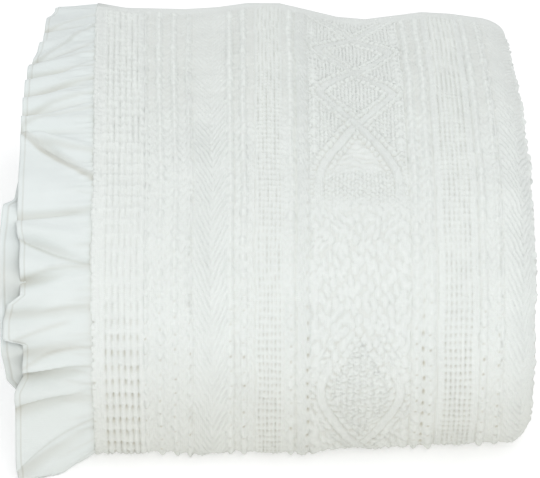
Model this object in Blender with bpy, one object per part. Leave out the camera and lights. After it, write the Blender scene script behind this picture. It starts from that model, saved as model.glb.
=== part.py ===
import bisect
import math

import bpy

for old in list(bpy.data.objects):
    bpy.data.objects.remove(old, do_unlink=True)

# Sizes are in millimetres here: x runs from the ruffle seam, y back from the foremost point, z up.
MM = 0.001

# The whole bundle, before it is shaped: four lengths of 65 mm, each of four plies.
LENGTH_HEIGHT = 65.0
STACK_HEIGHT = 4 * LENGTH_HEIGHT
HALF_STACK = STACK_HEIGHT / 2
FRONT_CENTRE = 125.0
TOP_BACK = 612.0
BACK_FOLD = 560.0
LAST_BACK = 572.0

# Outer outline in the middle of the panel, from the back edge over the top and round the front.
# Columns: distance behind the foremost point, height above the floor.
OUTLINE = [
    (640, 160), (612, 170), (578, 182), (492, 208), (372, 240), (280, 257), (214, 261), (158, 259),
    (110, 253), (71, 241), (43, 223), (23, 200), (10, 171), (2, 140), (0, 104), (5, 72),
    (15, 43), (33, 18), (60, 5), (92, 1.2), (125, 0.05),
]
OUTLINE_STEPS = 12

# Plies across the width: half a ply's thickness, how far the plies lie off the strip's middle,
# and where they fold on the right and on the left.
PLY_HALF = 4.0
PLY_OUTER = 24.4
PLY_INNER = 8.1
RIGHT_FOLD = 391.0
LEFT_FOLD = 12.6
FACE = PLY_OUTER + PLY_HALF
HIDDEN_RELIEF = 1.5
HEM = 26.0
HEM_FADE = (25.0, 40.0)
PATTERN_FADE = (0.77, 0.87)

# Raised stripes of the face from the ruffle seam to the right fold.
# Columns: name, left edge, right edge, kind, number of ridges, height.
STRIPES = [
    ("first beads", 0.0, 50.4, "band", 3, 3.2),
    ("three cords", 50.4, 93.1, "cord", 3, 3.6),
    ("braid", 93.1, 135.9, "braid", 2, 3.4),
    ("single cord", 135.9, 154.9, "cord", 1, 3.6),
    ("second beads", 154.9, 181.5, "band", 2, 3.0),
    ("thin cord", 181.5, 194.5, "cord", 1, 3.2),
    ("rope", 194.5, 207.1, "cord", 1, 4.0),
    ("diamonds", 207.1, 302.1, "diamond", 2, 4.0),
    ("two cords", 302.1, 327.8, "cord", 2, 3.6),
    ("third beads", 327.8, 366.7, "band", 3, 3.2),
    ("last cord", 366.7, 387.6, "cord", 1, 3.6),
]
SEAM_RELIEF = 2.0
VALLEY = 0.5
BAND_SIDE = 4.0
BAND_CROWN = 0.5
BRAID_BEADS = 0.28
BRAID_MIDDLE = 1.7
DIAMOND_EDGE = 2.0
FIELD = 1.9
BAND_FOOT = 1.3

# Ridges of the stripe that wraps over the right fold. Columns: angle above the fold's middle, height.
FOLD_RIDGES = [(60, 3.2), (30, 1.6), (0, 3.0)]

# Where the two bands of the diamonds cross, as cloth length from the back edge.
CROSSINGS = [-37.0, 103.0, 243.0, 383.0, 641.0, 778.0, 1036.0]
DIAMOND_SLOPE = 0.463
BAND_HALF = 8.0

# Slow swell of the upper side across the width: distance from the seam, lift.
SWELL = [(-90, 13), (0, 12), (30, 6), (105, 4), (168, 15), (258, -10), (340, 2), (391, -6), (430, -11)]
SWELL_COLUMNS = (105.0, 168.0, 258.0, 340.0)
SWELL_FRONT = (90.0, 260.0)
SWELL_BACK = (150.0, 550.0)
SWELL_LEAST = 0.35
SWELL_HEIGHTS = (STACK_HEIGHT * 0.45, STACK_HEIGHT * 0.85)

# Spread of the seam side towards the back: how much, over what length, and at most how many times.
BACK_SPREAD = 11.5
SPREAD_LENGTH = 380.0
SPREAD_LIMIT = 1.3

# Fuller lower edge on the seam side: forward and down, where it lies round the front, and on what side.
LOW_EDGE = (7.0, 7.5)
LOW_EDGE_RISE = (0.58, 0.76)
LOW_EDGE_FALL = (0.78, 0.96)
LOW_EDGE_SIDE = (170.0, 350.0)
LOW_EDGE_FLOOR = 22.0

# Ruffle folds that show. Columns: cloth length at the seam, at the free edge, lift, half width.
OUTER_FOLDS = [
    (40, 30, 6, 18), (98, 112, -5, 14), (125, 180, 7, 20), (165, 236, -5, 14), (205, 262, 7, 18),
    (232, 284, -5, 13), (262, 300, 7, 18), (288, 322, -6, 13), (318, 345, 7, 18), (344, 366, -6, 13),
    (376, 388, 7, 18), (402, 400, -5, 12), (440, 408, 9, 20), (490, 424, -11, 14), (500, 478, 4, 40),
    (527, 528, -6, 9), (560, 548, 7, 16), (592, 560, -9, 11), (600, 585, 7, 17), (592, 606, -8, 11),
    (614, 622, 4, 14), (634, 640, -5, 10), (650, 658, 7, 15), (664, 684, -6, 11), (682, 696, 7, 12),
    (694, 710, -8, 12), (712, 726, 8, 14), (726, 744, -5, 10), (744, 768, 8, 16), (764, 792, -5, 11),
    (784, 826, 6, 22),
]
INNER_FOLDS = [
    (70, 60, 4, 24), (160, 150, 5, 22), (250, 240, 4, 24), (340, 330, 5, 22), (430, 425, 4, 26),
    (520, 516, 5, 20), (600, 598, 4, 22), (680, 684, 5, 20), (760, 770, 4, 22),
]

# Ruffle widths. Columns: cloth length, width.
OUTER_WIDTHS = [
    (0, 42), (40, 45), (62, 53), (160, 55), (258, 67), (318, 70), (398, 71), (480, 72), (508, 72),
    (545, 68), (560, 67), (665, 66), (690, 66), (706, 71), (780, 74), (850, 72), (1100, 74),
]
INNER_WIDTHS = [
    (0, 38), (200, 50), (400, 64), (495, 74), (508, 82), (618, 84), (680, 83), (700, 76), (740, 62),
    (850, 64), (1100, 74),
]

# How the two ruffles lie. The lean is the drop of the free edge, where it shows and where it is hidden.
OUTER_RUFFLE = {
    "ply": PLY_OUTER, "folds": OUTER_FOLDS, "widths": OUTER_WIDTHS, "shares": (0.0, 0.25, 0.5, 0.75, 1.0),
    "step": 11.0, "hidden_step": 30.0, "rise": 3.0, "lean": -6.0, "hidden_lean": 0.0,
    "flare": 38.0, "flare_from": 0.52, "lowest": 3.2,
}
INNER_RUFFLE = {
    "ply": PLY_INNER, "folds": INNER_FOLDS, "widths": INNER_WIDTHS, "shares": (0.0, 0.33, 0.67, 1.0),
    "step": 18.0, "hidden_step": 34.0, "rise": 0.0, "lean": -9.0, "hidden_lean": -9.0,
    "flare": 16.0, "flare_from": 0.55, "lowest": 10.2,
}
RUFFLE_HALF = 1.1
RUFFLE_LEAST = 1.6
RUFFLE_SEAM = 0.35
RUFFLE_END = 4.0
FLARE_FULL = 0.74
FLARE_END = (0.86, 0.99)
FLARE_BEND = 0.8
FOLD_BEND = 0.6
SHOWN_END = (70.0, 10.0)
HIDDEN_WAVE = 2.6
HIDDEN_WAVE_LENGTH = 104.0
HIDDEN_LENGTH = 1000.0


def smooth_line(rows, steps):
    """A soft curve through the rows, as many short straight steps."""
    line = []
    last = len(rows) - 1
    for i in range(last):
        p0 = rows[max(i - 1, 0)]
        p1 = rows[i]
        p2 = rows[i + 1]
        p3 = rows[min(i + 2, last)]
        for k in range(steps):
            t = k / steps
            point = []
            for a, b, c, d in zip(p0, p1, p2, p3):
                value = 2 * b + (c - a) * t + (2 * a - 5 * b + 4 * c - d) * t * t
                value += (3 * b - a - 3 * c + d) * t * t * t
                point.append(0.5 * value)
            line.append(tuple(point))
    line.append(tuple(rows[last]))
    return line


def read_table(rows, x):
    """Straight reading between the rows of a short table."""
    if x <= rows[0][0]:
        return rows[0][1]
    for (x0, y0), (x1, y1) in zip(rows, rows[1:]):
        if x <= x1:
            return y0 + (y1 - y0) * (x - x0) / (x1 - x0)
    return rows[-1][1]


def soft_step(a, b, x):
    t = min(max((x - a) / (b - a), 0.0), 1.0)
    return t * t * (3 - 2 * t)


LINE = smooth_line(OUTLINE, OUTLINE_STEPS)
TOP_LINE = sorted(p for p in LINE if p[0] >= FRONT_CENTRE and p[1] > HALF_STACK)
UNDERSIDE = LENGTH_HEIGHT / 2 - FACE - HIDDEN_RELIEF


def stacked(y, z):
    """Height in the bundle behind its front: the underside stays flat and the rest follows the top."""
    share = (read_table(TOP_LINE, y) - UNDERSIDE) / (STACK_HEIGHT - UNDERSIDE)
    return UNDERSIDE + (z - UNDERSIDE) * share


CENTRE_HEIGHT = stacked(FRONT_CENTRE, HALF_STACK)


def front_part():
    """The outline round the front, with its running length."""
    start = (FRONT_CENTRE, stacked(FRONT_CENTRE, STACK_HEIGHT))
    end = (FRONT_CENTRE, stacked(FRONT_CENTRE, 0.0))
    front = [start] + [p for p in LINE if p[0] < FRONT_CENTRE] + [end]
    lengths = [0.0]
    for p, q in zip(front, front[1:]):
        lengths.append(lengths[-1] + math.dist(p, q))
    return front, lengths


FRONT, FRONT_LENGTH = front_part()


def front_point(share):
    """The point at this share of the way round the front."""
    length = min(max(share, 0.0), 1.0) * FRONT_LENGTH[-1]
    i = min(max(bisect.bisect_right(FRONT_LENGTH, length) - 1, 0), len(FRONT) - 2)
    t = (length - FRONT_LENGTH[i]) / (FRONT_LENGTH[i + 1] - FRONT_LENGTH[i])
    p = FRONT[i]
    q = FRONT[i + 1]
    return p[0] + (q[0] - p[0]) * t, p[1] + (q[1] - p[1]) * t


def shaped(y, z, low):
    """Bends the plain stack into the bundle: domed top, full front, thinner back."""
    if y >= FRONT_CENTRE:
        return y, stacked(y, z)
    dy = FRONT_CENTRE - y
    dz = z - HALF_STACK
    share = math.atan2(dy, dz) / math.pi
    py, pz = front_point(share)
    k = math.hypot(dy, dz) / HALF_STACK
    bell = low * soft_step(*LOW_EDGE_RISE, share) * (1.0 - soft_step(*LOW_EDGE_FALL, share))
    py -= LOW_EDGE[0] * bell
    pz -= LOW_EDGE[1] * bell * min(max(pz / LOW_EDGE_FLOOR, 0.0), 1.0)
    return FRONT_CENTRE + (py - FRONT_CENTRE) * k, CENTRE_HEIGHT + (pz - CENTRE_HEIGHT) * k


# The way of the strip: over the top, round the front, back along the floor, up and forwards,
# up and back again. ENDS holds the path length at the end of each run and turn.
OUTER_RADIUS = 1.5 * LENGTH_HEIGHT
SMALL_RADIUS = 0.5 * LENGTH_HEIGHT
TOP_RUN = TOP_BACK - FRONT_CENTRE
OUTER_TURN = math.pi * OUTER_RADIUS
BOTTOM_RUN = BACK_FOLD - FRONT_CENTRE
SMALL_TURN = math.pi * SMALL_RADIUS
LAST_RUN = LAST_BACK - FRONT_CENTRE
ENDS = [TOP_RUN]
for run in (OUTER_TURN, BOTTOM_RUN, SMALL_TURN, BOTTOM_RUN, SMALL_TURN, LAST_RUN):
    ENDS.append(ENDS[-1] + run)


def path_point(s):
    """Middle of the strip at path length s, and the way its face looks."""
    h = LENGTH_HEIGHT
    if s <= ENDS[0]:
        return TOP_BACK - s, 3.5 * h, 0.0, 1.0
    if s <= ENDS[1]:
        a = (s - ENDS[0]) / OUTER_RADIUS
        y = FRONT_CENTRE - OUTER_RADIUS * math.sin(a)
        return y, HALF_STACK + OUTER_RADIUS * math.cos(a), -math.sin(a), math.cos(a)
    if s <= ENDS[2]:
        return FRONT_CENTRE + s - ENDS[1], 0.5 * h, 0.0, -1.0
    if s <= ENDS[3]:
        a = (s - ENDS[2]) / SMALL_RADIUS
        y = BACK_FOLD + SMALL_RADIUS * math.sin(a)
        return y, h - SMALL_RADIUS * math.cos(a), math.sin(a), -math.cos(a)
    if s <= ENDS[4]:
        return BACK_FOLD - (s - ENDS[3]), 1.5 * h, 0.0, 1.0
    if s <= ENDS[5]:
        a = (s - ENDS[4]) / SMALL_RADIUS
        y = FRONT_CENTRE - SMALL_RADIUS * math.sin(a)
        return y, HALF_STACK - SMALL_RADIUS * math.cos(a), math.sin(a), math.cos(a)
    return FRONT_CENTRE + s - ENDS[5], 2.5 * h, 0.0, -1.0


def place(x, s, n):
    """Point of the bundle at x across the width, s along the path and n off the strip."""
    y, z, ny, nz = path_point(s)
    low = 1.0 - soft_step(*LOW_EDGE_SIDE, x)
    y += n * ny
    z += n * nz
    py, pz = shaped(y, z, low)
    fade = SWELL_LEAST + (1.0 - SWELL_LEAST) * soft_step(*SWELL_BACK, y)
    fade *= soft_step(*SWELL_FRONT, y) * soft_step(*SWELL_HEIGHTS, z)
    pz += read_table(SWELL, x) * fade
    depth = min(max((py - FRONT_CENTRE) / SPREAD_LENGTH, 0.0), SPREAD_LIMIT)
    return x + BACK_SPREAD * depth * (x - RIGHT_FOLD) / RIGHT_FOLD, py, pz


def top_lengths():
    """Path length against the real length of the domed top."""
    side = [p for p in LINE if FRONT_CENTRE <= p[0] <= TOP_BACK and p[1] > HALF_STACK]
    rows = [(0.0, 0.0)]
    for p, q in zip(side, side[1:]):
        rows.append((rows[-1][0] + p[0] - q[0], rows[-1][1] + math.dist(p, q)))
    return rows


TOP_LENGTHS = top_lengths()


def cloth_length(s):
    """Length along the shaped outer face, from the back edge, at path length s."""
    if s <= TOP_RUN:
        return read_table(TOP_LENGTHS, s)
    return TOP_LENGTHS[-1][1] + (s - TOP_RUN) / OUTER_TURN * FRONT_LENGTH[-1]


def path_of(length):
    """The path length at a given cloth length on the outer face, found by halving."""
    low = 0.0
    high = TOP_RUN + OUTER_TURN
    while high - low > MM:
        middle = (low + high) / 2
        if cloth_length(middle) < length:
            low = middle
        else:
            high = middle
    return (low + high) / 2


def diamond_half(s):
    """Half distance between the two bands of the diamonds."""
    u = cloth_length(s)
    for a, b in zip(CROSSINGS, CROSSINGS[1:]):
        if a <= u <= b:
            return min(u - a, b - u) * DIAMOND_SLOPE
    return 0.0


def always(value):
    """A function of the path length that never changes."""
    return lambda s: value


def diamond_columns(left, right, height):
    """Columns of the diamond stripe: two raised bands that part and meet on a plain field."""
    middle = (left + right) / 2
    limit = (right - left) / 2 - BAND_HALF - BAND_SIDE

    def band_side(side, offset):
        def x_at(s):
            return middle + side * min(diamond_half(s) + BAND_HALF, limit) + offset
        return x_at

    columns = [(always(left + DIAMOND_EDGE), always(FIELD))]
    for side in (-1, 1):
        columns.append((band_side(side, -BAND_HALF + 1.0), always(BAND_FOOT)))
        columns.append((band_side(side, 0.0), always(height)))
        columns.append((band_side(side, BAND_HALF - 1.0), always(BAND_FOOT)))
        if side == -1:
            columns.append((always(middle), always(FIELD)))
    columns.append((always(right - DIAMOND_EDGE), always(FIELD)))
    return columns


def stripe_columns():
    """Every column of points on the patterned face: a function for x and one for the height."""
    columns = []
    for _, left, right, kind, ridges, height in STRIPES:
        middle = (left + right) / 2
        if kind == "band":
            columns.append((always(left + BAND_SIDE), always(height)))
            if ridges > 2:
                columns.append((always(middle), always(height + BAND_CROWN)))
            columns.append((always(right - BAND_SIDE), always(height)))
        if kind == "cord":
            step = (right - left) / ridges
            for i in range(ridges):
                if i:
                    columns.append((always(left + i * step), always(VALLEY)))
                columns.append((always(left + (i + 0.5) * step), always(height)))
        if kind == "braid":
            beads = (right - left) * BRAID_BEADS
            columns.append((always(middle - beads), always(height)))
            columns.append((always(middle), always(BRAID_MIDDLE)))
            columns.append((always(middle + beads), always(height)))
        if kind == "diamond":
            columns += diamond_columns(left, right, height)
        columns.append((always(right), always(VALLEY)))
    return columns


def faded(raised):
    """The pattern's height, brought down to the plain relief in the hem and under the front."""
    def at(s):
        share = (s - ENDS[0]) / OUTER_TURN
        k = soft_step(*HEM_FADE, s) * (1.0 - soft_step(*PATTERN_FADE, share))
        return HIDDEN_RELIEF * (1 - k) + raised(s) * k
    return at


def arc(cx, cn, radius, start, end, count):
    """Points of a fold in the width direction, angles in degrees."""
    points = []
    for i in range(count + 1):
        a = math.radians(start + (end - start) * i / count)
        points.append((cx + radius * math.cos(a), cn + radius * math.sin(a)))
    return points


def across(n, rightwards):
    """Points on a flat ply where the swell bends it."""
    points = [(x, n) for x in SWELL_COLUMNS]
    return points if rightwards else points[::-1]


def parted(first, last, count):
    """Marks from first to last in even parts, both ends among them."""
    return [first + (last - first) * i / count for i in range(count + 1)]


def coarse_stations():
    """Marks along the path for the plain sides."""
    stations = [0.0, HEM, 150.0, 250.0, 350.0, 430.0]
    for first, last, count in (
        (ENDS[0], ENDS[1], 14), (ENDS[1], ENDS[2], 2), (ENDS[2], ENDS[3], 7),
        (ENDS[3], ENDS[4], 4), (ENDS[4], ENDS[5], 7), (ENDS[5], ENDS[6], 5),
    ):
        stations += parted(first, last, count)[0 if first == ENDS[0] else 1:]
    return stations


def fine_stations():
    """Marks along the patterned face, one of them on each crossing of the diamonds."""
    step = 15.5
    stations = parted(HEM, ENDS[1], int(round((ENDS[1] - HEM) / step)))
    for length in CROSSINGS[1:-1]:
        cross = path_of(length)
        near = min(range(1, len(stations) - 1), key=lambda i: abs(stations[i] - cross))
        stations[near] = cross
    return stations


class Builder:
    """Collects points and triangles of one closed body."""

    def __init__(self):
        self.points = []
        self.faces = []

    def add(self, point):
        self.points.append(tuple(c * MM for c in point))
        return len(self.points) - 1

    def bridge(self, first, second, second_leads=False):
        """Fills between two chains of (parameter, index), with the face to the left of the first."""
        i = 0
        j = 0
        while i < len(first) - 1 or j < len(second) - 1:
            can_i = i < len(first) - 1
            can_j = j < len(second) - 1
            step_i = can_i
            if can_i and can_j:
                step_i = first[i + 1][0] <= second[j + 1][0]
                if second_leads:
                    step_i = first[i + 1][0] < second[j + 1][0]
            if step_i:
                self.faces.append((first[i][1], first[i + 1][1], second[j][1]))
                i += 1
            else:
                self.faces.append((first[i][1], second[j + 1][1], second[j][1]))
                j += 1

    def close(self, first, second):
        """Fills between two plain chains of indices, always over the shorter way across."""
        i = 0
        j = 0
        while i < len(first) - 1 or j < len(second) - 1:
            can_i = i < len(first) - 1
            can_j = j < len(second) - 1
            step_i = can_i
            if can_i and can_j:
                over_first = math.dist(self.points[first[i + 1]], self.points[second[j]])
                over_second = math.dist(self.points[first[i]], self.points[second[j + 1]])
                step_i = over_first <= over_second
            if step_i:
                self.faces.append((first[i], first[i + 1], second[j]))
                i += 1
            else:
                self.faces.append((first[i], second[j + 1], second[j]))
                j += 1

    def object(self, name, material):
        """Makes the named object, smooth but for its sharp edges."""
        mesh = bpy.data.meshes.new(name)
        mesh.from_pydata(self.points, [], self.faces)
        mesh.shade_smooth()
        mesh.set_sharp_from_angle(angle=math.radians(50))
        mesh.materials.append(material)
        made = bpy.data.objects.new(name, mesh)
        bpy.context.collection.objects.link(made)
        return made


def cotton(name, colour, roughness):
    """A matt cloth finish."""
    material = bpy.data.materials.new(name)
    material.use_nodes = True
    shader = material.node_tree.nodes["Principled BSDF"]
    shader.inputs["Base Color"].default_value = (*colour, 1.0)
    shader.inputs["Roughness"].default_value = roughness
    shader.inputs["Metallic"].default_value = 0.0
    material.diffuse_color = (*colour, 1.0)
    return material


def build_panel(material):
    """The whole pique cloth with its own hems, as one folded closed body."""
    body = Builder()
    stations = coarse_stations()
    fine = fine_stations()
    first = fine[0]
    last = fine[-1]
    plain = FACE + HIDDEN_RELIEF

    def chain(x, n, marks):
        return [(s, body.add(place(x(s), s, n(s)))) for s in marks]

    def plain_chain(x, n):
        return chain(always(x), always(n), stations)

    def raised_n(height):
        return lambda s: FACE + height(s)

    def at_mark(column, s):
        return [index for mark, index in column if mark == s][0]

    def fold_order(angle):
        return RIGHT_FOLD + 0.5 * (90 - angle)

    # Patterned face: the seam edge, every stripe column and a quarter of the right fold.
    sides = [s for s in stations if s < first] + fine + [s for s in stations if s > last]
    left = chain(always(0.0), raised_n(faded(always(SEAM_RELIEF))), sides)
    patch = [[c for c in left if first <= c[0] <= last]]
    orders = []
    for x, height in stripe_columns():
        patch.append(chain(x, raised_n(faded(height)), fine))
    for angle, height in FOLD_RIDGES:
        a = math.radians(angle)
        reach = raised_n(faded(always(height)))
        marks = sides if angle == 0 else fine
        right = []
        for s in marks:
            point = place(RIGHT_FOLD + reach(s) * math.cos(a), s, reach(s) * math.sin(a))
            right.append((s, body.add(point)))
        patch.append([c for c in right if first <= c[0] <= last])
        orders.append(fold_order(angle))
    for a, b in zip(patch, patch[1:]):
        body.bridge(a, b)

    # Plain rest of the same face: the hem at the start and what lies under the bundle at the end.
    def plain_rows(marks, across_swell):
        rows = []
        for s in marks:
            row = [(0.0, at_mark(left, s))]
            if across_swell:
                row += [(x, body.add(place(x, s, plain))) for x in SWELL_COLUMNS]
            for angle in (90, 60, 30):
                a = math.radians(angle)
                point = place(RIGHT_FOLD + plain * math.cos(a), s, plain * math.sin(a))
                row.append((fold_order(angle), body.add(point)))
            row.append((fold_order(0), at_mark(right, s)))
            rows.append(row)
        return rows

    def patch_row(k):
        flat = [column[k][1] for column in patch[:-len(orders)]]
        row = [(body.points[index][0] / MM, index) for index in flat]
        row += [(order, column[k][1]) for order, column in zip(orders, patch[-len(orders):])]
        return row

    before = plain_rows([s for s in stations if s < first], True) + [patch_row(0)]
    after = [patch_row(len(fine) - 1)] + plain_rows([s for s in stations if s > last], False)
    for rows in (before, after):
        for a, b in zip(rows, rows[1:]):
            body.bridge(b, a)

    # The remaining sides, from the underside of the right fold round to the free inner edge.
    left_n = -(PLY_OUTER + PLY_INNER) / 2
    left_radius = (PLY_OUTER - PLY_INNER) / 2
    wide = left_radius + PLY_HALF
    tight = left_radius - PLY_HALF
    outer_in = PLY_OUTER - PLY_HALF
    inner_in = PLY_INNER - PLY_HALF
    inner_out = PLY_INNER + PLY_HALF
    face_side = arc(RIGHT_FOLD, 0, plain, -30, -90, 2) + across(-plain, False)
    face_side += arc(LEFT_FOLD, left_n, wide, -90, -270, 4) + across(-inner_in, True)
    face_side += arc(RIGHT_FOLD, 0, inner_in, -90, 90, 3) + across(inner_in, False)
    face_side += [(0.0, inner_in)]
    back_side = [(0.0, outer_in)] + across(outer_in, True)
    back_side += arc(RIGHT_FOLD, 0, outer_in, 90, -90, 5) + across(-outer_in, False)
    back_side += arc(LEFT_FOLD, left_n, tight, -90, -270, 3) + across(-inner_out, True)
    back_side += arc(RIGHT_FOLD, 0, inner_out, -90, 90, 4) + across(inner_out, False)
    back_side += [(0.0, inner_out)]
    face_chains = [plain_chain(x, n) for x, n in face_side]
    back_chains = [plain_chain(x, n) for x, n in back_side]
    ring = [right] + face_chains + back_chains[::-1] + [left]
    for a, b in zip(ring, ring[1:]):
        body.bridge(a, b)

    # End hems: the two cut ends of the strip are closed between face side and back side.
    for end, row in ((0, before[0]), (-1, after[-1])):
        front = [index for _, index in row] + [c[end][1] for c in face_chains]
        back = [c[end][1] for c in back_chains]
        if end == 0:
            body.close(front, back)
        else:
            body.close(back, front)
    return body.object("pique_panel", material)


def fold_lift(folds, u, w):
    """Lift of the ruffle's folds at cloth length u and share w of its width."""
    lift = 0.0
    for seam, free, height, half in folds:
        middle = seam + (free - seam) * w
        t = abs(u - middle) / (half * (0.7 + 0.5 * w))
        if t < 1:
            lift += height * (0.5 + 0.5 * math.cos(math.pi * t))
    return lift


def ruffle_stations(step, hidden_step):
    """Marks along a ruffle: close together where it shows, wider where the bundle hides it."""
    marks = parted(RUFFLE_END, ENDS[1], int(round(ENDS[1] / step)))
    for a, b in zip(ENDS[1:], ENDS[2:]):
        turn = math.isclose(b - a, SMALL_TURN)
        marks += parted(a, b, 7 if turn else int(round((b - a) / hidden_step)))[1:]
    marks[-1] -= RUFFLE_END
    return marks


def ruffle_point(lie, s, w):
    """The middle of a ruffle at path length s and share w of its width: x and n."""
    shown = 1.0 - soft_step(ENDS[1] - SHOWN_END[0], ENDS[1] - SHOWN_END[1], s)
    u = cloth_length(s) if s <= ENDS[1] else HIDDEN_LENGTH + s
    share = (s - ENDS[0]) / OUTER_TURN
    n = lie["ply"] + fold_lift(lie["folds"], u, w) * shown * w ** FOLD_BEND
    n += (1 - shown) * HIDDEN_WAVE * w * math.sin(s * math.tau / HIDDEN_WAVE_LENGTH)
    flare = soft_step(lie["flare_from"], FLARE_FULL, share) * (1.0 - soft_step(*FLARE_END, share))
    n += lie["flare"] * flare * w ** FLARE_BEND
    n += lie["rise"] * shown + (lie["lean"] * shown + lie["hidden_lean"] * (1 - shown)) * w
    return -RUFFLE_SEAM - read_table(lie["widths"], u) * w, n


def build_ruffle(name, lie, material):
    """A gathered strip along one long edge of the cloth, thin and closed."""
    body = Builder()
    marks = ruffle_stations(lie["step"], lie["hidden_step"])
    upper = []
    lower = []
    for w in lie["shares"]:
        up = []
        down = []
        for s in marks:
            x, n = ruffle_point(lie, s, w)
            top = place(x, s, n + RUFFLE_HALF)
            base = place(x, s, n - RUFFLE_HALF)
            turned = top[2] < base[2]
            high = base if turned else top
            low = top if turned else base
            low = (low[0], low[1], max(low[2], lie["lowest"]))
            high = (high[0], high[1], max(high[2], lie["lowest"] + RUFFLE_LEAST))
            up.append((s, body.add(low if turned else high)))
            down.append((s, body.add(high if turned else low)))
        upper.append(up)
        lower.append(down)
    for a, b in zip(upper[::-1], upper[::-1][1:]):
        body.bridge(a, b)
    for a, b in zip(lower, lower[1:]):
        body.bridge(a, b, second_leads=True)
    body.bridge(upper[0], lower[0])
    body.bridge(lower[-1], upper[-1])
    for end in (0, -1):
        top_row = [(i, chain[end][1]) for i, chain in enumerate(upper)]
        low_row = [(i, chain[end][1]) for i, chain in enumerate(lower)]
        if end == 0:
            body.bridge(low_row, top_row)
        else:
            body.bridge(top_row, low_row)
    return body.object(name, material)


def centre_over_origin(parts):
    """The bundle stands centred over the origin, with its underside on the floor."""
    points = [v.co for part in parts for v in part.data.vertices]
    lows = [min(co[i] for co in points) for i in range(3)]
    highs = [max(co[i] for co in points) for i in range(3)]
    shift = ((lows[0] + highs[0]) / 2, (lows[1] + highs[1]) / 2, lows[2])
    for part in parts:
        for v in part.data.vertices:
            for i in range(3):
                v.co[i] -= shift[i]
        part.data.update()


pique_cotton = cotton("pique_cotton", (0.83, 0.84, 0.815), 0.9)
ruffle_cotton = cotton("ruffle_cotton", (0.81, 0.835, 0.835), 0.85)
centre_over_origin([
    build_panel(pique_cotton),
    build_ruffle("ruffle_outer", OUTER_RUFFLE, ruffle_cotton),
    build_ruffle("ruffle_inner", INNER_RUFFLE, ruffle_cotton),
])
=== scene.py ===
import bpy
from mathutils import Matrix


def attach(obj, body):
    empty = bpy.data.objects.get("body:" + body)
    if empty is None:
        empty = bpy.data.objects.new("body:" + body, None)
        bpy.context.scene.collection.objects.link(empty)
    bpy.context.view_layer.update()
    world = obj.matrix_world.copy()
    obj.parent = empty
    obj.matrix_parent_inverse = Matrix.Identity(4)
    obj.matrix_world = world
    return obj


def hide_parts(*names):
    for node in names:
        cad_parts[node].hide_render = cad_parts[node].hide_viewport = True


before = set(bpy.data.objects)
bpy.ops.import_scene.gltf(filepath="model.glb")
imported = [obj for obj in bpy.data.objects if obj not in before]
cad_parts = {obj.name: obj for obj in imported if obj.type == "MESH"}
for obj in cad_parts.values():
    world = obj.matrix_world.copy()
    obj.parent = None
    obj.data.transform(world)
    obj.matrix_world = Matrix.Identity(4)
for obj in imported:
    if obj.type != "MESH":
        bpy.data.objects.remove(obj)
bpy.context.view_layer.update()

import math

import bpy
import numpy as np
from mathutils import Vector

# Sizes are in millimetres here, as in the part: x from the ruffle seam, y back from the foremost
# point, z up. SHIFT takes them to the frame, whose origin is under the middle of the bundle.
MM = 0.001
SHIFT = np.array([165.67016, 303.53086, 2.6])

# The form of the bundle, repeated from the part.
LENGTH_HEIGHT = 65.0
STACK_HEIGHT = 4 * LENGTH_HEIGHT
HALF_STACK = STACK_HEIGHT / 2
FRONT_CENTRE = 125.0
TOP_BACK = 612.0
BACK_FOLD = 560.0
LAST_BACK = 572.0
OUTLINE = [
    (640, 160), (612, 170), (578, 182), (492, 208), (372, 240), (280, 257), (214, 261), (158, 259),
    (110, 253), (71, 241), (43, 223), (23, 200), (10, 171), (2, 140), (0, 104), (5, 72),
    (15, 43), (33, 18), (60, 5), (92, 1.2), (125, 0.05),
]
OUTLINE_STEPS = 30
PLY_HALF = 4.0
PLY_OUTER = 24.4
PLY_INNER = 8.1
RIGHT_FOLD = 391.0
LEFT_FOLD = 12.6
FACE = PLY_OUTER + PLY_HALF
HIDDEN_RELIEF = 1.5
SWELL = [(-90, 13), (0, 12), (30, 6), (105, 4), (168, 15), (258, -10), (340, 2), (391, -6), (430, -11)]
SWELL_FRONT = (90.0, 260.0)
SWELL_BACK = (150.0, 550.0)
SWELL_LEAST = 0.35
SWELL_HEIGHTS = (STACK_HEIGHT * 0.45, STACK_HEIGHT * 0.85)
BACK_SPREAD = 11.5
SPREAD_LENGTH = 380.0
SPREAD_LIMIT = 1.3
SPREAD_SIDE = (190.0, 60.0)
LOW_EDGE = (7.0, 7.5)
LOW_EDGE_RISE = (0.58, 0.76)
LOW_EDGE_FALL = (0.78, 0.96)
LOW_EDGE_SIDE = (170.0, 350.0)
LOW_EDGE_FLOOR = 22.0

OUTER_RADIUS = 1.5 * LENGTH_HEIGHT
SMALL_RADIUS = 0.5 * LENGTH_HEIGHT
OUTER_TURN = math.pi * OUTER_RADIUS
SMALL_TURN = math.pi * SMALL_RADIUS
BOTTOM_RUN = BACK_FOLD - FRONT_CENTRE
ENDS = [TOP_BACK - FRONT_CENTRE]
for run in (OUTER_TURN, BOTTOM_RUN, SMALL_TURN, BOTTOM_RUN, SMALL_TURN, LAST_BACK - FRONT_CENTRE):
    ENDS.append(ENDS[-1] + run)


# Reading of tables and soft steps

def table(rows, x):
    """Straight reading between the rows of a short table."""
    return np.interp(x, [row[0] for row in rows], [row[1] for row in rows])


def soft_step(a, b, x):
    """Rises softly from 0 at a to 1 at b."""
    t = np.clip((x - a) / (b - a), 0.0, 1.0)
    return t * t * (3 - 2 * t)


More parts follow.
